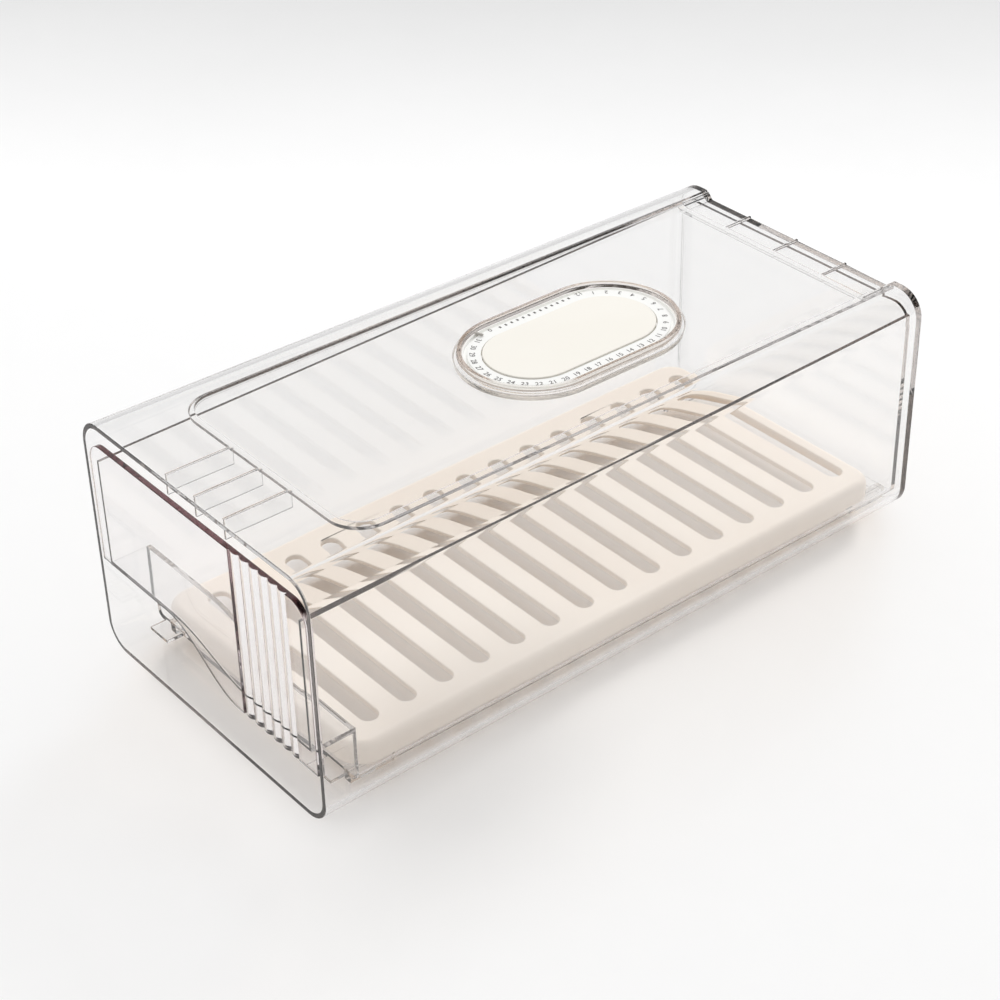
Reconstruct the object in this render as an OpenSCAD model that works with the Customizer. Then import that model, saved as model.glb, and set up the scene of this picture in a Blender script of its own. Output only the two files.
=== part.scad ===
// Fridge drawer organizer: a clear stacking housing, a clear pull-out drawer with a
// fluted front, a slotted drain tray inside it and a date dial set in the top.
// The origin is the middle of the underside, +Z is up and the drawer opens along -Y.
// The sub-parts are drawn from the front rim, y = 0, and then moved back by half the depth.

/* [Housing] */
// Width across the front rim
housing_w = 160; // [140:1:200]
// Height at the front rim
housing_h = 116.5; // [105:0.5:140]
// Depth from the front rim to the back
housing_l = 334.2; // [260:0.1:380]
// Wall thickness
housing_wall = 2.3; // [1.6:0.1:3]
// Radius of the four long edges
housing_corner_r = 12.5; // [8:0.5:18]
// How much each side leans in from front to back
side_draft = 2.85; // [0:0.05:4]
// How much the top falls from front to back
top_fall = 2.5; // [0:0.1:4]

/* [Stacking panel] */
// Depth that the panel sinks below the top
panel_sink = 1.9; // [1:0.1:2.6]
// Distance between the panel's opening and the housing's side
panel_border = 21; // [16:0.5:30]
// Where the panel's opening starts behind the front rim
panel_front_y = 36; // [30:0.5:50]
// Radius of the panel's front corners
panel_corner_r = 13; // [6:0.5:20]

/* [Rear strip] */
// Length of the lowered strip at the back
strip_l = 17.2; // [12:0.1:24]
// Depth of the strip below the top
strip_sink = 3.8; // [3:0.1:5]
// How far the strip's side walls slope inwards
strip_side_slope = 4; // [1:0.5:6]
// Sideways spacing of the three ribs on the strip
strip_rib_pitch = 30.6; // [20:0.1:36]
// Width of a rib on the strip
strip_rib_w = 1.2; // [0.8:0.1:2]
// Height of a rib on the strip
strip_rib_h = 1.1; // [0.6:0.1:1.6]

/* [Front fins] */
// Sideways spacing of the three fins under the front strip
fin_pitch = 20.3; // [12:0.1:26]
// Thickness of a fin
fin_w = 1.2; // [0.8:0.1:2]
// Depth of a fin's lower edge below the top
fin_drop = 10.6; // [9:0.1:12]
// Gap between the front panel and the fins
fin_front_gap = 0.6; // [0.4:0.1:5]

/* [Date dial] */
// Distance of the dial's middle from the front rim
dial_y = 195.3; // [150:0.1:220]
// Half width of the dial's well, outside
well_half_w = 33.7; // [28:0.1:38]
// Half length of the dial's well, outside
well_half_l = 55.1; // [46:0.1:64]
// Wall of the dial's well
well_wall = 1.5; // [1.2:0.1:2]
// Depth of the well's underside below the top
well_drop = 7; // [6.4:0.1:7.6]
// Floor thickness of the well
well_floor = 1.4; // [1:0.1:1.8]
// Wall of the clear bezel that stands in the well
bezel_wall = 1.8; // [1.4:0.1:2.4]
// Gap between pieces that sit in one another in the dial
dial_fit = 0.15; // [0.1:0.05:0.3]
// Thickness of the number ring
ring_t = 3.2; // [2.4:0.1:3.4]
// Width of the number ring, from its outer edge to the plate's opening
ring_w = 8.3; // [6:0.1:10]
// Width of the groove between the number ring and the middle plate
plate_gap = 0.5; // [0.1:0.1:1]
// How far the middle plate stands above the number ring
plate_rise = 0.5; // [0.2:0.1:1]
// Width of the track for the date marker
track_w = 1.6; // [1.2:0.1:2]
// Depth of the track in the number ring
track_depth = 1.2; // [0.8:0.1:1.4]
// Distance of the track's middle from the ring's outer edge
track_inset = 1.6; // [1.4:0.1:5]
// Length of the date marker's bar, across the ring
marker_l = 4.4; // [3.6:0.1:5.5]
// Width of the date marker's bar and key
marker_w = 0.9; // [0.7:0.1:2]
// Thickness of the date marker's bar
marker_t = 0.9; // [0.6:0.1:1.2]
// Gap between the marker's outer end and the ring's outer edge
marker_edge_gap = 0.3; // [0.1:0.1:0.6]
// Angle at which the marker rests, from the start of the front bend
marker_angle = 16; // [0:1:144]
// Gap round the marker's key in its track and under its bar
marker_fit = 0.3; // [0.2:0.05:0.4]

/* [Drawer] */
// Gap between the drawer's side and the housing's side wall at the back
drawer_side_gap = 2.75; // [1:0.05:8]
// Wall thickness of the drawer
drawer_wall = 1.6; // [1.4:0.1:2.6]
// Height of the drawer's underside above the ground
drawer_floor_z = 8.4; // [7:0.1:12]
// How far the side walls' top edge is below the housing's top at the front
side_drop_front = 19.1; // [16:0.1:40]
// How far the side walls' top edge is below the housing's top at the back
side_drop_rear = 13.7; // [12:0.1:40]
// Gap between the back wall's top edge and the lowest part of the top
back_gap = 0.4; // [0.3:0.1:1.4]
// Radius of the back wall's top corners
back_corner_r = 9; // [5:0.5:12]
// Radius of the drawer's long bottom edges
drawer_bottom_r = 4; // [2:0.5:6]
// Gap between the drawer's back and the housing's back
drawer_rear_gap = 0.8; // [0.5:0.1:2]
// Gap between the glide feet and the housing's floor
glide_gap = 0.2; // [0.1:0.05:0.5]
// Length of a glide foot
glide_l = 22; // [10:1:40]
// Width of a glide foot
glide_w = 4; // [3:0.5:8]
// Distance of a glide foot's middle from the drawer's side
glide_inset = 9; // [6:0.5:14]

/* [Finger recess] */
// Depth of the recess behind the front panel's face
recess_depth = 20; // [15:0.5:26]
// Height of the recess's roof on the left
recess_roof_left_z = 45.5; // [38:0.5:50]
// Height of the recess's roof on the right
recess_roof_right_z = 34; // [28:0.5:38]
// Where the roof's S-curve starts, measured from the middle
roof_curve_start_x = -22; // [-40:1:-10]
// Where the roof's S-curve ends, measured from the middle
roof_curve_end_x = 32; // [20:1:45]
// How far the two flat tongues reach forward from the foot of the recess
tongue_l = 8.2; // [4:0.1:11]
// Width of a tongue
tongue_w = 13.5; // [8:0.5:18]
// Distance between a tongue and the drawer's side
tongue_inset = 6.4; // [6:0.1:12]

/* [Front panel] */
// Gap between the front panel's side and the housing's side wall
front_side_gap = 1.2; // [0.6:0.1:4]
// Thickness of the front panel
front_t = 2.6; // [2.2:0.1:3]
// Gap between the front panel's top edge and the underside of the housing's top
front_top_gap = 8.2; // [6:0.1:14]
// Radius of the front panel's corners
front_corner_r = 9.5; // [5:0.5:14]
// Height of the lower edge on the left
lip_left_z = 46; // [36:0.5:52]
// Height of the lower edge on the right
lip_right_z = 25; // [16:0.5:28]
// Where the lower edge's S-curve starts, measured from the middle
lip_curve_start_x = -27; // [-40:1:-10]
// Where the lower edge's S-curve ends, measured from the middle
lip_curve_end_x = 22; // [6:1:30]
// Number of flutes
flute_count = 6; // [3:1:7]
// Spacing of the flutes
flute_pitch = 6.3; // [5:0.1:7]
// Where the first flute starts, measured from the middle
flute_start_x = 26; // [10:0.5:30]
// Depth of the valleys between the flutes
flute_depth = 1.3; // [0.6:0.1:1.6]

/* [Drain tray] */
// Gap between the tray and the round long edges of the drawer's floor
tray_side_gap = 0.3; // [0.2:0.1:3]
// Gap between the tray and the recess's back wall
tray_front_gap = 1.2; // [0.5:0.1:3]
// Gap between the tray and the drawer's back wall
tray_rear_gap = 7.7; // [4:0.1:20]
// Height of the tray's top above the drawer's floor
tray_h = 10; // [7:0.1:16]
// Gap under the tray's skirt
tray_seat_gap = 0.1; // [0.05:0.05:0.3]
// Thickness of the tray's top
tray_t = 2.8; // [2:0.1:4]
// Wall thickness of the tray's skirt
skirt_t = 2; // [1.5:0.1:3]
// Radius of the tray's corners
tray_corner_r = 11; // [6:0.5:14]
// Radius of the tray's upper edge
tray_edge_r = 4; // [1:0.1:4.5]
// Width of a drain slot
slot_w = 8.6; // [5:0.1:11]
// Spacing of the drain slots
slot_pitch = 19.2; // [14:0.1:26]
// Margin between a slot's end and the tray's side
slot_end_margin = 12; // [8:0.5:20]
// Distance of the first slot's middle from the tray's front edge
first_slot = 18.2; // [12:0.1:26]

/* [Hidden] */
$fn = 64;
hull_fn = 32;      // segments of a full circle inside a hull
slab = 0.2;        // thickness of the thin end slabs that a tapered shell is drawn through
past = 5;          // how far a cut runs past the surface it opens
merge = 1;         // how far a rib or pad runs into the wall that carries it
curve_steps = 16;  // straight pieces in an S-curve

clear_tint = "#e9e4e0";
panel_tint = "#cdb3b4";
tray_cream = "#f3ece4";
dial_white = "#fbfaf6";
dial_cream = "#f5f0e6";
marker_grey = "#8f8a84";

top_angle = atan(top_fall / housing_l);
panel_half_w = housing_w / 2 - panel_border;
panel_rear_y = housing_l - strip_l;
strip_half_w = panel_half_w + strip_side_slope / 4;
dial_floor = -well_drop + well_floor;
bezel_half_w = well_half_w - well_wall - dial_fit;
bezel_half_l = well_half_l - well_wall - dial_fit;
ring_half_w = bezel_half_w - bezel_wall - dial_fit;
ring_half_l = bezel_half_l - bezel_wall - dial_fit;
track_x = ring_half_w - track_inset;
drawer_w = housing_w - 2 * (housing_wall + side_draft + drawer_side_gap);
drawer_rear_y = housing_l - housing_wall - drawer_rear_gap;
side_top_front_z = housing_h - side_drop_front;
side_top_rear_z = housing_h - side_drop_rear;
back_top_z = housing_h - top_fall - max(strip_sink + housing_wall, well_drop) - back_gap;
drawer_floor_top = drawer_floor_z + drawer_wall;
recess_back_y = recess_depth + drawer_wall;
front_w = housing_w - 2 * (housing_wall + front_side_gap);
front_top_z = housing_h - housing_wall - front_top_gap;
fin_front_y = front_t + fin_front_gap;
tray_front_y = recess_back_y + tray_front_gap;
tray_l = drawer_rear_y - drawer_wall - tray_rear_gap - tray_front_y;
tray_half_w = drawer_w / 2 - max(drawer_bottom_r, drawer_wall + 1) - tray_side_gap;
tray_foot_z = drawer_floor_top + tray_seat_gap;
tray_top_z = drawer_floor_top + tray_h;
slot_count = floor((tray_l - first_slot - slot_w) / slot_pitch) + 1;

// The height along an S-curve that runs level, falls in a cosine sweep and runs level again
function s_curve(x, x0, x1, z0, z1) =
    x <= x0 ? z0 : x >= x1 ? z1 : (z0 + z1) / 2 + (z0 - z1) / 2 * cos(180 * (x - x0) / (x1 - x0));

function s_points(x0, x1, z0, z1) =
    [for (i = [0:curve_steps]) let (x = x0 + (x1 - x0) * i / curve_steps) [x, s_curve(x, x0, x1, z0, z1)]];

// Moves a sub-part from the front rim's frame to the row's own, with y = 0 in the middle
module centred() {
    translate([0, -housing_l / 2, 0]) children();
}

// A frame whose z = 0 is the housing's sloping top
module on_top() {
    translate([0, 0, housing_h]) rotate([-top_angle, 0, 0]) children();
}

// An upright outline, drawn in X and Z, made solid from y0 backwards
module upright(y0, length) {
    translate([0, y0 + length, 0]) rotate([90, 0, 0]) linear_extrude(length) children();
}

module rounded_rect(w, h, r) {
    translate([-w / 2 + r, 0]) square([w - 2 * r, h]);
    translate([-w / 2, r]) square([w, h - 2 * r]);
    for (x = [-w / 2 + r, w / 2 - r], z = [r, h - r]) translate([x, z]) circle(r);
}

// A stadium: straight along Y with half-round ends
module stadium(half_w, half_l) {
    square([2 * half_w, 2 * (half_l - half_w)], center = true);
    for (s = [-1, 1]) translate([0, s * (half_l - half_w)]) circle(half_w);
}

// The housing's outside, or with an inset its inside, drawn through a front and a back slab
module tapered_body(inset, front_y, rear_y) {
    hull() {
        for (y = [front_y, rear_y]) {
            narrow = side_draft * y / housing_l;
            lower = top_fall * y / housing_l;
            translate([0, 0, inset])
                upright(y - (y == rear_y ? slab : 0), slab)
                rounded_rect(housing_w - 2 * (narrow + inset), housing_h - lower - 2 * inset,
                             housing_corner_r - inset, $fn = hull_fn);
        }
    }
}

// The panel's outline, open at the back, where it meets the strip
module panel_outline(grow, rear_y) {
    r = panel_corner_r + grow;
    half_w = panel_half_w + grow;
    front_y = panel_front_y - grow;
    translate([-half_w, front_y + r]) square([2 * half_w, rear_y - front_y - r]);
    translate([-half_w + r, front_y]) square([2 * (half_w - r), 2 * r]);
    for (s = [-1, 1]) translate([s * (half_w - r), front_y + r]) circle(r);
}

module panel_pad() {
    translate([0, 0, -panel_sink - housing_wall])
        linear_extrude(panel_sink + housing_wall - merge) panel_outline(housing_wall, housing_l);
}

module strip_section(grow) {
    polygon([[-strip_half_w - grow, past], [-strip_half_w - grow, 0],
             [-strip_half_w + strip_side_slope - grow, -strip_sink - grow],
             [strip_half_w - strip_side_slope + grow, -strip_sink - grow],
             [strip_half_w + grow, 0], [strip_half_w + grow, past]]);
}

module strip_pad() {
    upright(panel_rear_y - housing_wall, strip_l + housing_wall) intersection() {
        strip_section(housing_wall);
        translate([-housing_w, -housing_h]) square([2 * housing_w, housing_h - merge]);
    }
}

module strip_ribs() {
    for (i = [-1:1]) translate([i * strip_rib_pitch - strip_rib_w / 2, panel_rear_y - merge, -strip_sink - merge])
        cube([strip_rib_w, strip_l + merge, strip_rib_h + merge]);
}

module front_fins() {
    for (i = [-1:1]) translate([i * fin_pitch - fin_w / 2, fin_front_y, -fin_drop])
        cube([fin_w, panel_front_y - housing_wall + merge - fin_front_y, fin_drop - merge]);
}

module dial_seat(grow, depth) {
    translate([0, dial_y, -depth]) linear_extrude(depth + past)
        stadium(well_half_w + grow, well_half_l + grow);
}

module housing() color(clear_tint, 0.35) centred() {
    difference() {
        union() {
            difference() {
                tapered_body(0, 0, housing_l);
                tapered_body(housing_wall, -past, housing_l - housing_wall);
            }
            intersection() {
                tapered_body(0, 0, housing_l);
                on_top() {
                    panel_pad();
                    strip_pad();
                    front_fins();
                    translate([0, dial_y, -well_drop])
                        linear_extrude(well_drop - merge) stadium(well_half_w, well_half_l);
                }
            }
        }
        on_top() {
            translate([0, 0, -panel_sink])
                linear_extrude(panel_sink + past) panel_outline(0, housing_l);
            difference() {
                upright(panel_rear_y, strip_l + past) strip_section(0);
                strip_ribs();
            }
            dial_seat(-well_wall, well_drop - well_floor);
        }
    }
}

// The clear oval wall that stands in the dial's well and holds the ring
module dial_bezel() color(clear_tint, 0.4) centred() on_top() {
    translate([0, dial_y, dial_floor]) linear_extrude(-dial_floor) difference() {
        stadium(bezel_half_w, bezel_half_l);
        stadium(bezel_half_w - bezel_wall, bezel_half_l - bezel_wall);
    }
}

module number_ring() color(dial_white) centred() on_top() {
    translate([0, dial_y, dial_floor]) difference() {
        linear_extrude(ring_t) difference() {
            stadium(ring_half_w, ring_half_l);
            stadium(ring_half_w - ring_w, ring_half_l - ring_w);
        }
        translate([0, 0, ring_t - track_depth]) linear_extrude(track_depth + past) difference() {
            stadium(track_x + track_w / 2, ring_half_l - track_inset + track_w / 2);
            stadium(track_x - track_w / 2, ring_half_l - track_inset - track_w / 2);
        }
    }
}

module dial_plate() color(dial_cream) centred() on_top() {
    translate([0, dial_y, dial_floor]) linear_extrude(ring_t + plate_rise)
        stadium(ring_half_w - ring_w - plate_gap, ring_half_l - ring_w - plate_gap);
}

// The pointer that is pushed round the track: a thin bar across the ring, on a key
module date_marker() color(marker_grey) centred() on_top() {
    key_w = track_w - 2 * marker_fit;
    translate([0, dial_y - ring_half_l + ring_half_w, dial_floor + ring_t + marker_fit])
        rotate(180 + marker_angle) translate([0, -marker_w / 2, 0]) {
            translate([ring_half_w - marker_edge_gap - marker_l, 0, 0]) cube([marker_l, marker_w, marker_t]);
            translate([track_x - key_w / 2, 0, -track_depth])
                cube([key_w, marker_w, track_depth + marker_t / 2]);
        }
}

// The space under the recess's roof, opened downwards and to the front
module recess_space(lift, depth) {
    reach = housing_w;
    upright(-past, depth + past) polygon(concat(
        [[-reach, -past], [-reach, recess_roof_left_z + lift]],
        s_points(roof_curve_start_x, roof_curve_end_x, recess_roof_left_z + lift, recess_roof_right_z + lift),
        [[reach, recess_roof_right_z + lift], [reach, -past]]));
}

// Everything below the side walls' rising top edge
module under_side_top() {
    rotate([90, 0, 90]) translate([0, 0, -housing_w / 2]) linear_extrude(housing_w)
        polygon([[-past, -past], [-past, side_top_front_z], [front_t, side_top_front_z],
                 [drawer_rear_y, side_top_rear_z], [drawer_rear_y + past, side_top_rear_z],
                 [drawer_rear_y + past, -past]]);
}

// A trough with round long edges, inset by a wall and with its floor at the given height
module trough(inset, front_y, rear_y, base_z) {
    r = max(drawer_bottom_r - inset, 0.5);
    translate([0, 0, base_z]) upright(front_y, rear_y - front_y)
        rounded_rect(drawer_w - 2 * inset, housing_h, r);
}

module drawer_tub() color(clear_tint, 0.3) centred() {
    difference() {
        intersection() {
            trough(0, front_t, drawer_rear_y, drawer_floor_z);
            under_side_top();
        }
        difference() {
            trough(drawer_wall, -past, drawer_rear_y - drawer_wall, drawer_floor_top);
            recess_space(drawer_wall, recess_back_y);
        }
        recess_space(0, recess_depth);
    }
    drawer_back();
    for (s = [-1, 1]) {
        glides(s);
        tongue(s);
    }
}

module drawer_back() {
    upright(drawer_rear_y - drawer_wall, drawer_wall) translate([0, drawer_floor_top])
        difference() {
            rounded_rect(drawer_w, back_top_z - drawer_floor_top, back_corner_r);
            translate([-drawer_w / 2, 0]) square([drawer_w, back_corner_r]);
        }
}

// Feet under the floor, which carry the drawer on the housing's floor
module glides(side) {
    foot_z = housing_wall + glide_gap;
    for (y = [recess_back_y, drawer_rear_y - glide_l])
        translate([side * (drawer_w / 2 - glide_inset) - glide_w / 2, y, foot_z])
            cube([glide_w, glide_l, drawer_floor_top - foot_z - drawer_wall / 2]);
}

// A flat tongue that carries the floor forward, under the open front of the recess
module tongue(side) {
    tongue_x = side * (drawer_w / 2 - tongue_inset - tongue_w / 2) - tongue_w / 2;
    translate([tongue_x, recess_depth - tongue_l, drawer_floor_z])
        cube([tongue_w, tongue_l + merge, drawer_wall]);
}

module lip_cut() {
    reach = housing_w;
    polygon(concat(
        [[-reach, -past], [-reach, lip_left_z]],
        s_points(lip_curve_start_x, lip_curve_end_x, lip_left_z, lip_right_z),
        [[reach, lip_right_z], [reach, -past]]));
}

module drawer_front() color(panel_tint, 0.4) centred() {
    flute_r = (pow(flute_pitch / 2, 2) + pow(flute_depth, 2)) / (2 * flute_depth);
    fluted_w = flute_count * flute_pitch;
    difference() {
        upright(0, front_t) difference() {
            rounded_rect(front_w, front_top_z, front_corner_r);
            lip_cut();
        }
        difference() {
            translate([flute_start_x, -past, 0]) cube([fluted_w, past + flute_depth, front_top_z + past]);
            for (i = [0:flute_count - 1])
                translate([flute_start_x + (i + 0.5) * flute_pitch, flute_r, -past])
                    cylinder(r = flute_r, h = front_top_z + 2 * past);
        }
    }
}

// A block with round corners and a round upper edge
module soft_block(half_w, length, height, corner_r, edge_r) {
    hull() for (x = [-half_w + corner_r, half_w - corner_r], y = [corner_r, length - corner_r])
        translate([x, y, 0]) {
            cylinder(r = corner_r, h = height - edge_r, $fn = hull_fn);
            translate([0, 0, height - edge_r]) rotate_extrude($fn = hull_fn)
                translate([corner_r - edge_r, 0]) intersection() {
                    circle(edge_r, $fn = hull_fn);
                    square(edge_r);
                }
        }
}

module drain_tray() color(tray_cream) centred() {
    height = tray_top_z - tray_foot_z;
    slot_half_l = tray_half_w - slot_end_margin;
    translate([0, tray_front_y, tray_foot_z]) difference() {
        soft_block(tray_half_w, tray_l, height, tray_corner_r, tray_edge_r);
        translate([0, skirt_t, -past])
            soft_block(tray_half_w - skirt_t, tray_l - 2 * skirt_t, height - tray_t + past,
                       tray_corner_r - skirt_t, 0.6);
        for (i = [0:slot_count - 1]) translate([0, first_slot + i * slot_pitch, 0])
            linear_extrude(height + past) rotate(90) stadium(slot_w / 2, slot_half_l);
    }
}

housing();
drawer_tub();
drawer_front();
drain_tray();
dial_bezel();
number_ring();
dial_plate();
date_marker();
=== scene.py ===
"""Looks for the fridge drawer organizer: clear moulded shells, a cream drain tray and a printed date dial."""

import math

import bmesh
import bpy
from mathutils import Matrix, Vector
from mathutils.bvhtree import BVHTree


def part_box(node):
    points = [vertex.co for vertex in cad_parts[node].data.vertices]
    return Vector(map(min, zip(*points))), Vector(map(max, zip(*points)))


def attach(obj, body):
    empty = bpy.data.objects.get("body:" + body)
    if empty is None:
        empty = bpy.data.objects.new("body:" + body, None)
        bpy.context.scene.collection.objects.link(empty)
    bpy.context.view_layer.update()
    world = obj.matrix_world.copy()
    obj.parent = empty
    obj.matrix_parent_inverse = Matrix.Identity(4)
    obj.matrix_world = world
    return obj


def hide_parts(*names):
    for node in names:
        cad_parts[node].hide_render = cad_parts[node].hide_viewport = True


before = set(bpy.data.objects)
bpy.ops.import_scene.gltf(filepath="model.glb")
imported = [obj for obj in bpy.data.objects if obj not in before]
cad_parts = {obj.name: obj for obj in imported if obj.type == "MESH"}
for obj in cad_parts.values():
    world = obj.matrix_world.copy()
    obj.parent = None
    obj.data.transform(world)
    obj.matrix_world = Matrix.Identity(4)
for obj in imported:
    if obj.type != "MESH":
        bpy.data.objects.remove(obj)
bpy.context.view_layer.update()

MM = 0.001
HALF_L = 167.1 * MM
TOP_H = 116.5 * MM
TOP_FALL = 2.5 * MM
TOP_TILT = math.atan(TOP_FALL / (2 * HALF_L))
DIAL_Y = 195.3 * MM
DIAL_FLOOR = -5.6 * MM
RING_TOP = DIAL_FLOOR + 3.2 * MM
RING_HALF_W = 30.1 * MM
RING_HALF_L = 51.5 * MM


# ---------------------------------------------------------------- meshes
WELD = 0.002 * MM
FLAT_ANGLE = math.radians(0.6)
EDGE_ANGLE = math.radians(35.0)


def link(obj):
    bpy.context.scene.collection.objects.link(obj)
    return obj


def baked(obj):
    """Applies an object's modifiers to its mesh."""
    graph = bpy.context.evaluated_depsgraph_get()
    mesh = bpy.data.meshes.new_from_object(obj.evaluated_get(graph))
    obj.modifiers.clear()
    obj.data = mesh
    return obj


def keep_near(mesh, solid, low, high, reach):
    """Pulls back the few corners where a bevel overshoots: onto the solid, and inside its box."""
    surface = bmesh.new()
    surface.from_mesh(solid)
    lookup = BVHTree.FromBMesh(surface)
    for vertex in mesh.vertices:
        spot, _, _, gap = lookup.find_nearest(vertex.co)
        if gap > reach:
            vertex.co = spot
        vertex.co = [min(max(c, a), b) for c, a, b in zip(vertex.co, low, high)]
    surface.free()
    mesh.update()


def softened(node, name, body, material, width, segments=2):
    """A copy of a node's solid with its sharp edges rounded off, which stands for that node."""
    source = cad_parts[node]
    bm = bmesh.new()
    bm.from_mesh(source.data)
    bmesh.ops.remove_doubles(bm, verts=bm.verts, dist=WELD)
    bmesh.ops.dissolve_limit(bm, angle_limit=FLAT_ANGLE, verts=bm.verts, edges=bm.edges)
    mesh = bpy.data.meshes.new(name)
    bm.to_mesh(mesh)
    bm.free()
    obj = link(bpy.data.objects.new(name, mesh))
    for face in mesh.polygons:
        face.use_smooth = True
    bevel = obj.modifiers.new("Bevel", "BEVEL")
    bevel.width = width
    bevel.segments = segments
    bevel.limit_method = "ANGLE"
    bevel.angle_limit = EDGE_ANGLE
    bevel.use_clamp_overlap = False
    bevel.miter_outer = "MITER_ARC"
    normals = obj.modifiers.new("Normals", "WEIGHTED_NORMAL")
    normals.weight = 100
    normals.keep_sharp = True
    baked(obj)
    keep_near(obj.data, source.data, *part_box(node), width)
    obj.data.name = name
    obj.data.materials.clear()
    obj.data.materials.append(material)
    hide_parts(node)
    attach(obj, body)
    return obj


# ---------------------------------------------------------------- materials
def tree(name):
    material = bpy.data.materials.new(name)
    material.use_nodes = True
    nodes = material.node_tree.nodes
    nodes.clear()
    return material, nodes, material.node_tree.links


def noise(nodes, links, scale, detail=3.0, stretch=(1, 1, 1)):
    coords = nodes.new("ShaderNodeTexCoord")
    mapping = nodes.new("ShaderNodeMapping")
    mapping.inputs["Scale"].default_value = stretch
    texture = nodes.new("ShaderNodeTexNoise")
    texture.inputs["Scale"].default_value = scale
    texture.inputs["Detail"].default_value = detail
    links.new(coords.outputs["Object"], mapping.inputs["Vector"])
    links.new(mapping.outputs["Vector"], texture.inputs["Vector"])
    return texture


def ramp(nodes, links, value, low, high, start=0.35, end=0.65):
    """A colour ramp between two greys or colours, driven by a texture."""
    node = nodes.new("ShaderNodeValToRGB")
    node.color_ramp.elements[0].position = start
    node.color_ramp.elements[1].position = end
    node.color_ramp.elements[0].color = low
    node.color_ramp.elements[1].color = high
    links.new(value, node.inputs["Fac"])
    return node


def grey(value):
    return (value, value, value, 1)


def math_node(nodes, links, operation, first, second=None):
    """A maths node with its inputs linked to two sockets, or to one."""
    node = nodes.new("ShaderNodeMath")
    node.operation = operation
    links.new(first, node.inputs[0])
    if second:
        links.new(second, node.inputs[1])
    return node


# The upper rims of the drawer and its front plate lie above this height; their upward faces get painted shade.
RIM_SHADE_FROM = 94 * MM


def clear_plastic(name, absorb, density, rough=(0.0, 0.015), ior=1.57, tint=1.0, shade=0.995, warm=0.003,
                  ripple=0.006, rim_shade=None):
    """Moulded clear plastic: tinted by depth, with faint flow ripples. Lamp light and light between dull surfaces
    pass it as shade says, a little warmer by warm. The upward faces of the upper rims can get painted shade of a
    given colour, which stands for the dark edges the clear walls show."""
    material, nodes, links = tree(name)
    out = nodes.new("ShaderNodeOutputMaterial")
    body = nodes.new("ShaderNodeBsdfPrincipled")
    body.inputs["Base Color"].default_value = grey(tint)
    body.inputs["Transmission Weight"].default_value = 1
    body.inputs["IOR"].default_value = ior
    # Painted shade: upward faces of the upper rims are darkened towards the given rim colour, for the dark edges
    # of the clear walls.
    if rim_shade:
        facing = nodes.new("ShaderNodeNewGeometry")
        upward = nodes.new("ShaderNodeSeparateXYZ")
        links.new(facing.outputs["Normal"], upward.inputs["Vector"])
        place = nodes.new("ShaderNodeTexCoord")
        height = nodes.new("ShaderNodeSeparateXYZ")
        links.new(place.outputs["Object"], height.inputs["Vector"])
        high = math_node(nodes, links, "GREATER_THAN", height.outputs["Z"])
        high.inputs[1].default_value = RIM_SHADE_FROM
        rim_shade_mask = math_node(nodes, links, "MULTIPLY", upward.outputs["Z"], high.outputs[0])
        links.new(ramp(nodes, links, rim_shade_mask.outputs[0], grey(1), (*rim_shade, 1), 0.35, 0.75).outputs["Color"],
                  body.inputs["Base Color"])
    haze = noise(nodes, links, 26.0)
    links.new(ramp(nodes, links, haze.outputs["Fac"], grey(rough[0]), grey(rough[1])).outputs["Color"],
              body.inputs["Roughness"])
    flow = noise(nodes, links, 9.0, 1.0, (1.0, 0.35, 1.0))
    bump = nodes.new("ShaderNodeBump")
    bump.inputs["Strength"].default_value = ripple
    bump.inputs["Distance"].default_value = 0.002
    links.new(flow.outputs["Fac"], bump.inputs["Height"])
    links.new(bump.outputs["Normal"], body.inputs["Normal"])
    path = nodes.new("ShaderNodeLightPath")
    either = math_node(nodes, links, "MAXIMUM", path.outputs["Is Shadow Ray"], path.outputs["Is Diffuse Ray"])
    through = nodes.new("ShaderNodeBsdfTransparent")
    through.inputs["Color"].default_value = (shade, shade * (1 - warm), shade * (1 - 2 * warm), 1)
    mix = nodes.new("ShaderNodeMixShader")
    links.new(either.outputs[0], mix.inputs["Fac"])
    links.new(body.outputs["BSDF"], mix.inputs[1])
    links.new(through.outputs["BSDF"], mix.inputs[2])
    links.new(mix.outputs["Shader"], out.inputs["Surface"])
    absorber = nodes.new("ShaderNodeVolumeAbsorption")
    absorber.inputs["Color"].default_value = (*absorb, 1)
    absorber.inputs["Density"].default_value = density
    links.new(absorber.outputs["Volume"], out.inputs["Volume"])
    return material


def satin(name, low, high, rough=(0.42, 0.6), grain=900.0, strength=0.06, blotch=14.0):
    """Opaque moulded plastic with faint colour clouds and a fine eroded grain."""
    material, nodes, links = tree(name)
    out = nodes.new("ShaderNodeOutputMaterial")
    body = nodes.new("ShaderNodeBsdfPrincipled")
    clouds = noise(nodes, links, blotch, 4.0)
    links.new(ramp(nodes, links, clouds.outputs["Fac"], (*low, 1), (*high, 1)).outputs["Color"],
              body.inputs["Base Color"])
    fine = noise(nodes, links, grain, 2.0)
    links.new(ramp(nodes, links, fine.outputs["Fac"], grey(rough[0]), grey(rough[1])).outputs["Color"],
              body.inputs["Roughness"])
    bump = nodes.new("ShaderNodeBump")
    bump.inputs["Strength"].default_value = strength
    bump.inputs["Distance"].default_value = 0.0002
    links.new(fine.outputs["Fac"], bump.inputs["Height"])
    links.new(bump.outputs["Normal"], body.inputs["Normal"])
    body.inputs["IOR"].default_value = 1.46
    links.new(body.outputs["BSDF"], out.inputs["Surface"])
    return material


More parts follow.
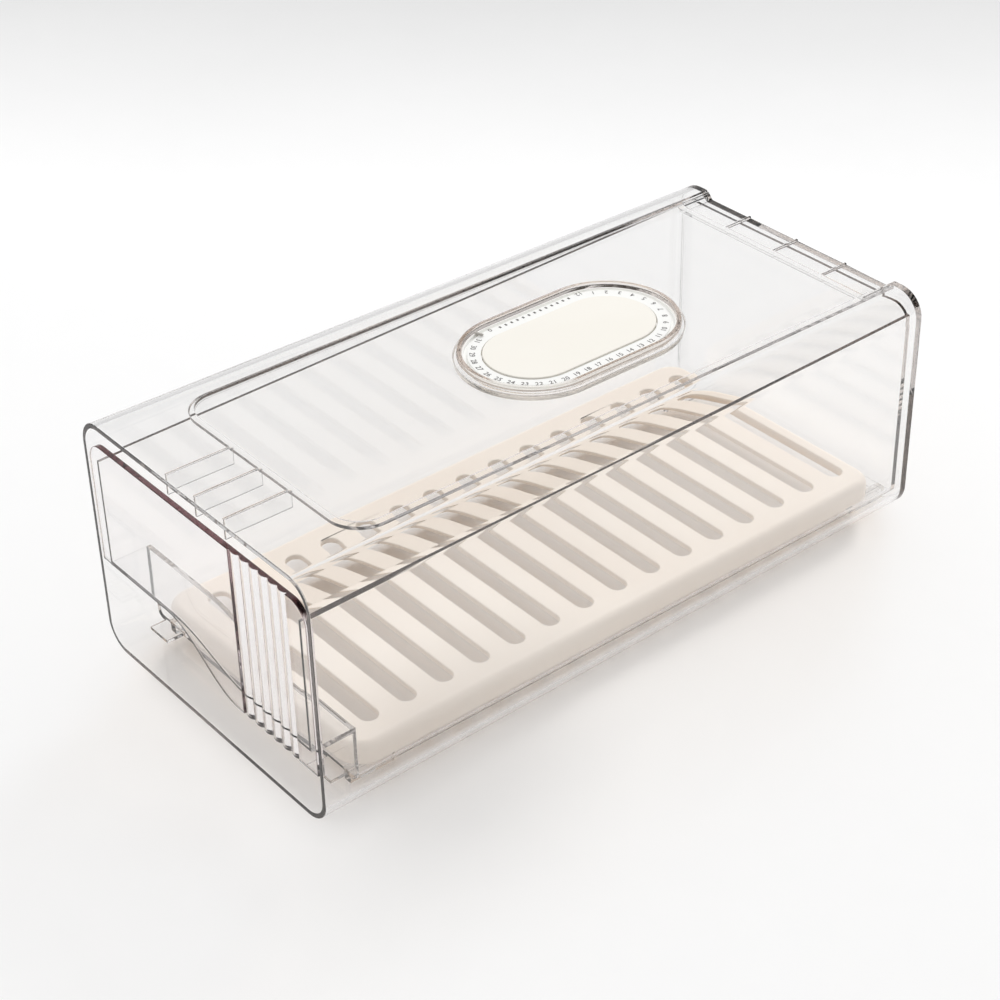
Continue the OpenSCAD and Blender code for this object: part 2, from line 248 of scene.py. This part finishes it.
HOUSING_CLEAR = clear_plastic("clear_housing", (0.34, 0.27, 0.24), 5.0, ior=1.49, tint=0.982)
# The drawer's and the front plate's rim colours are painted shade on the upward faces of their upper rims.
DRAWER_CLEAR = clear_plastic("clear_drawer", (0.34, 0.24, 0.18), 4.0, ior=1.45, shade=0.975, warm=0.014,
                             rim_shade=(0.10, 0.075, 0.07))
FRONT_CLEAR = clear_plastic("clear_front", (0.36, 0.08, 0.10), 12.0, shade=0.92, ripple=0.0,
                            rim_shade=(0.10, 0.035, 0.04))
DIAL_CLEAR = clear_plastic("clear_dial", (0.50, 0.28, 0.12), 70.0, rough=(0.09, 0.13), ior=1.2, shade=0.97)
TRAY_CREAM = satin("cream_tray", (0.955, 0.87, 0.785), (0.98, 0.91, 0.83))
RING_WHITE = satin("white_ring", (0.92, 0.92, 0.90), (0.95, 0.95, 0.93), grain=1400.0, strength=0.03)
PLATE_IVORY = satin("cream_plate", (0.90, 0.87, 0.80), (0.93, 0.90, 0.84), grain=1400.0, strength=0.03)
MARKER_GREY = satin("grey_marker", (0.47, 0.45, 0.42), (0.55, 0.52, 0.49), grain=1400.0, strength=0.05)
PRINT_GREY = satin("dial_print", (0.10, 0.09, 0.09), (0.17, 0.16, 0.15), grain=2500.0, strength=0.02)

# ---------------------------------------------------------------- the solids, with soft edges
softened("housing", "housing_shell", "housing", HOUSING_CLEAR, 0.35 * MM)
softened("drawer_tub", "drawer_shell", "drawer", DRAWER_CLEAR, 0.3 * MM)
softened("drawer_front", "front_panel", "drawer", FRONT_CLEAR, 0.3 * MM)
softened("drain_tray", "drain_tray_cream", "tray", TRAY_CREAM, 0.6 * MM, 3)
softened("dial_bezel", "dial_wall", "housing", DIAL_CLEAR, 0.3 * MM, 3)
softened("number_ring", "dial_ring", "housing", RING_WHITE, 0.15 * MM)
softened("dial_plate", "dial_middle", "housing", PLATE_IVORY, 0.3 * MM, 3)
softened("date_marker", "date_pointer", "marker", MARKER_GREY, 0.12 * MM)

# ---------------------------------------------------------------- print on the dial
ON_TOP = Matrix.Translation((0, -HALF_L, TOP_H)) @ Matrix.Rotation(-TOP_TILT, 4, "X")
INK = 0.03 * MM
DIGIT_SIZE = 3.5 * MM
DASH_L, DASH_W = 1.4 * MM, 0.9 * MM


def on_ring(x, y):
    """The place of a print's middle at x, y from the dial's middle, with the ink's underside on the ring."""
    return ON_TOP @ Matrix.Translation((x, DIAL_Y + y, RING_TOP + INK))


def stadium_point(along, half_w, half_l):
    """A point and its outward angle on an oval, at a distance along it from the middle of its right side."""
    straight = 2 * (half_l - half_w)
    arc = math.pi * half_w
    along %= 2 * (straight + arc)
    if along < straight / 2:
        return half_w, along, 0.0
    along -= straight / 2
    if along < arc:
        turn = along / half_w
        return half_w * math.cos(turn), straight / 2 + half_w * math.sin(turn), turn
    along -= arc
    if along < straight:
        return -half_w, straight / 2 - along, math.pi
    along -= straight
    if along < arc:
        turn = math.pi + along / half_w
        return half_w * math.cos(turn), -straight / 2 + half_w * math.sin(turn), turn
    return half_w, along - arc - straight / 2, 2 * math.pi


def printed(name, jobs, dashes):
    """Flat print on the ring, in the dial's own frame: jobs are (characters, x, y, turn), dashes are (x, y)."""
    bm = bmesh.new()
    for characters, x, y, turn in jobs:
        curve = bpy.data.curves.new(name, "FONT")
        curve.body = characters
        curve.size = DIGIT_SIZE
        curve.align_x = "CENTER"
        curve.align_y = "CENTER"
        curve.extrude = INK
        curve.resolution_u = 3
        text = link(bpy.data.objects.new(name, curve))
        graph = bpy.context.evaluated_depsgraph_get()
        mesh = bpy.data.meshes.new_from_object(text.evaluated_get(graph))
        mesh.transform(on_ring(x, y) @ Matrix.Rotation(turn, 4, "Z"))
        bm.from_mesh(mesh)
        bpy.data.objects.remove(text)
        bpy.data.meshes.remove(mesh)
        bpy.data.curves.remove(curve)
    for x, y in dashes:
        bmesh.ops.create_cube(bm, size=1, matrix=on_ring(x, y) @ Matrix.Diagonal((DASH_L, DASH_W, 2 * INK, 1)))
    mesh = bpy.data.meshes.new(name)
    bm.to_mesh(mesh)
    bm.free()
    obj = link(bpy.data.objects.new(name, mesh))
    mesh.materials.append(PRINT_GREY)
    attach(obj, "housing")
    return obj


# The days of a month run clockwise round the far end, the near side and the front end, with their tops inwards;
# the far side has a scale of dashes between a 0 and a 12.
PRINT_HALF_W = 25.6 * MM
STRAIGHT = 2 * (RING_HALF_L - RING_HALF_W)
DAY_PITCH = 6 * MM
DASH_X = -25.9 * MM
FIRST_DASH_Y = -17.7 * MM
DASH_PITCH = 3.27 * MM
DASH_COUNT = 13
SCALE_TURN = 1.5 * math.pi
day_zero = STRAIGHT / 2 + math.pi * PRINT_HALF_W - 6.2 * MM
jobs = []
for day in range(1, 32):
    x, y, turn = stadium_point(day_zero - DAY_PITCH * day, PRINT_HALF_W, PRINT_HALF_W + STRAIGHT / 2)
    jobs.append((str(day), x, y, turn + math.pi / 2))
jobs.append(("12", -26.1 * MM, 27.6 * MM, SCALE_TURN))
jobs.append(("0", -26.9 * MM, -22.7 * MM, SCALE_TURN))
printed("dial_numbers", jobs, [(DASH_X, FIRST_DASH_Y + DASH_PITCH * i) for i in range(DASH_COUNT)])

# ---------------------------------------------------------------- stage
# The floor's fade from FLOOR_NEAR to FLOOR_FAR is painted shade, greyer behind the object towards its far left
# corner.
FLOOR_AT = Vector((-0.6, 0.6, -0.0002))
FLOOR_REACH = 2.6
FLOOR_NEAR, FLOOR_FAR = 0.92, 0.61
FADE_TOWARD = Vector((-1, 1, 0)).normalized()
FADE_FROM, FADE_TO = -0.43, -0.03
FADE_SWAY = 0.10


def floor_paint():
    """A pale matt floor with painted shade: it turns greyer behind the object, towards its far left corner."""
    material, nodes, links = tree("floor_white")
    out = nodes.new("ShaderNodeOutputMaterial")
    body = nodes.new("ShaderNodeBsdfPrincipled")
    coords = nodes.new("ShaderNodeTexCoord")
    far = nodes.new("ShaderNodeVectorMath")
    far.operation = "DOT_PRODUCT"
    far.inputs[1].default_value = FADE_TOWARD
    links.new(coords.outputs["Object"], far.inputs[0])
    clouds = noise(nodes, links, 2.5)
    sway = nodes.new("ShaderNodeMath")
    sway.operation = "MULTIPLY_ADD"
    sway.inputs[1].default_value = FADE_SWAY
    links.new(clouds.outputs["Fac"], sway.inputs[0])
    links.new(far.outputs["Value"], sway.inputs[2])
    reach = nodes.new("ShaderNodeMapRange")
    reach.inputs["From Min"].default_value = FADE_FROM
    reach.inputs["From Max"].default_value = FADE_TO
    links.new(sway.outputs[0], reach.inputs["Value"])
    shade = ramp(nodes, links, reach.outputs["Result"], grey(FLOOR_NEAR), grey(FLOOR_FAR), 0.0, 1.0)
    links.new(shade.outputs["Color"], body.inputs["Base Color"])
    fine = noise(nodes, links, 60.0)
    links.new(ramp(nodes, links, fine.outputs["Fac"], grey(0.75), grey(0.9)).outputs["Color"],
              body.inputs["Roughness"])
    links.new(body.outputs["BSDF"], out.inputs["Surface"])
    return material


floor_mesh = bpy.data.meshes.new("floor")
bm = bmesh.new()
bmesh.ops.create_grid(bm, x_segments=8, y_segments=8, size=FLOOR_REACH)
bm.to_mesh(floor_mesh)
bm.free()
floor = link(bpy.data.objects.new("floor", floor_mesh))
floor.location = FLOOR_AT
floor_mesh.materials.append(floor_paint())


# One broad lamp, low behind the left: it lights and shadows, and shows in no reflection.
KEY_AT = Vector((-1.7, 2.55, 2.0))
KEY_TARGET = Vector((0, 0, 0.05))
lamp = bpy.data.lights.new("key", "AREA")
lamp.shape = "SQUARE"
lamp.size = 0.9
lamp.energy = 54
key = link(bpy.data.objects.new("key", lamp))
key.location = KEY_AT
key.rotation_euler = (KEY_TARGET - KEY_AT).to_track_quat("-Z", "Y").to_euler()
key.visible_glossy = False
key.visible_transmission = False

# Dull surfaces are lit by one sky. Shiny and clear ones see another, which is darker above and before the front.
SOFT_LIGHT = 1.03
world = bpy.data.worlds.new("studio")
bpy.context.scene.world = world
world.use_nodes = True
wn, wl = world.node_tree.nodes, world.node_tree.links
wn.clear()
w_out = wn.new("ShaderNodeOutputWorld")
w_coord = wn.new("ShaderNodeTexCoord")


def sky(toward, stops):
    """A grey background whose brightness follows how near a ray's direction is to one direction."""
    lit = wn.new("ShaderNodeVectorMath")
    lit.operation = "DOT_PRODUCT"
    lit.inputs[1].default_value = Vector(toward).normalized()
    half = wn.new("ShaderNodeMath")
    half.operation = "MULTIPLY_ADD"
    half.inputs[1].default_value = 0.5
    half.inputs[2].default_value = 0.5
    levels = wn.new("ShaderNodeValToRGB")
    for element, (place, level) in zip(levels.color_ramp.elements, stops):
        element.position = place
        element.color = grey(level)
    for place, level in stops[2:]:
        levels.color_ramp.elements.new(place).color = grey(level)
    background = wn.new("ShaderNodeBackground")
    wl.new(w_coord.outputs["Generated"], lit.inputs[0])
    wl.new(lit.outputs["Value"], half.inputs[0])
    wl.new(half.outputs[0], levels.inputs["Fac"])
    wl.new(levels.outputs["Color"], background.inputs["Color"])
    return background


w_soft = sky((-0.55, 0.35, 0.75), [(0.15, 0.16), (0.85, 1.0)])
w_soft.inputs["Strength"].default_value = SOFT_LIGHT
w_room = sky((-0.45, 0.6, -0.6), [(0.20, 0.0), (0.80, 0.76), (0.45, 0.05), (0.62, 0.62)])
w_path = wn.new("ShaderNodeLightPath")
w_spec = math_node(wn, wl, "MAXIMUM", w_path.outputs["Is Glossy Ray"], w_path.outputs["Is Transmission Ray"])
w_mix = wn.new("ShaderNodeMixShader")
wl.new(w_spec.outputs[0], w_mix.inputs["Fac"])
wl.new(w_soft.outputs["Background"], w_mix.inputs[1])
wl.new(w_room.outputs["Background"], w_mix.inputs[2])
wl.new(w_mix.outputs["Shader"], w_out.inputs["Surface"])

# ---------------------------------------------------------------- camera
EYE = Vector((0.64072, -0.52717, 0.60620))
FRAME_PX = 1000
FOCAL_PX = 2274.96
SENSOR_MM = 36
YAW, PITCH, ROLL = math.radians(51.23), math.radians(34.29), math.radians(-1.32)
back = Vector((math.sin(YAW) * math.cos(PITCH), -math.cos(YAW) * math.cos(PITCH), math.sin(PITCH)))
right0 = (-back).cross(Vector((0, 0, 1))).normalized()
up0 = right0.cross(-back)
right = right0 * math.cos(ROLL) + up0 * math.sin(ROLL)
up = -right0 * math.sin(ROLL) + up0 * math.cos(ROLL)
camera = bpy.data.cameras.new("camera")
camera.sensor_width = SENSOR_MM
camera.sensor_fit = "HORIZONTAL"
camera.lens = FOCAL_PX / FRAME_PX * SENSOR_MM
camera.clip_start = 0.05
camera.clip_end = 30
cam = link(bpy.data.objects.new("camera", camera))
cam.matrix_world = Matrix((
    (right.x, up.x, back.x, EYE.x),
    (right.y, up.y, back.y, EYE.y),
    (right.z, up.z, back.z, EYE.z),
    (0, 0, 0, 1),
))
bpy.context.scene.camera = cam

scene = bpy.context.scene
scene.view_settings.view_transform = "Standard"
scene.view_settings.look = "None"
# Light trapped in the clear walls is followed far, or their edges turn black.
INSIDE_BOUNCES = 96
scene.cycles.max_bounces = INSIDE_BOUNCES
scene.cycles.transmission_bounces = INSIDE_BOUNCES
scene.cycles.glossy_bounces = INSIDE_BOUNCES
scene.cycles.diffuse_bounces = 5
scene.cycles.transparent_max_bounces = 48
scene.cycles.volume_bounces = 0
scene.cycles.caustics_reflective = False
scene.cycles.caustics_refractive = False
scene.cycles.blur_glossy = 0.3
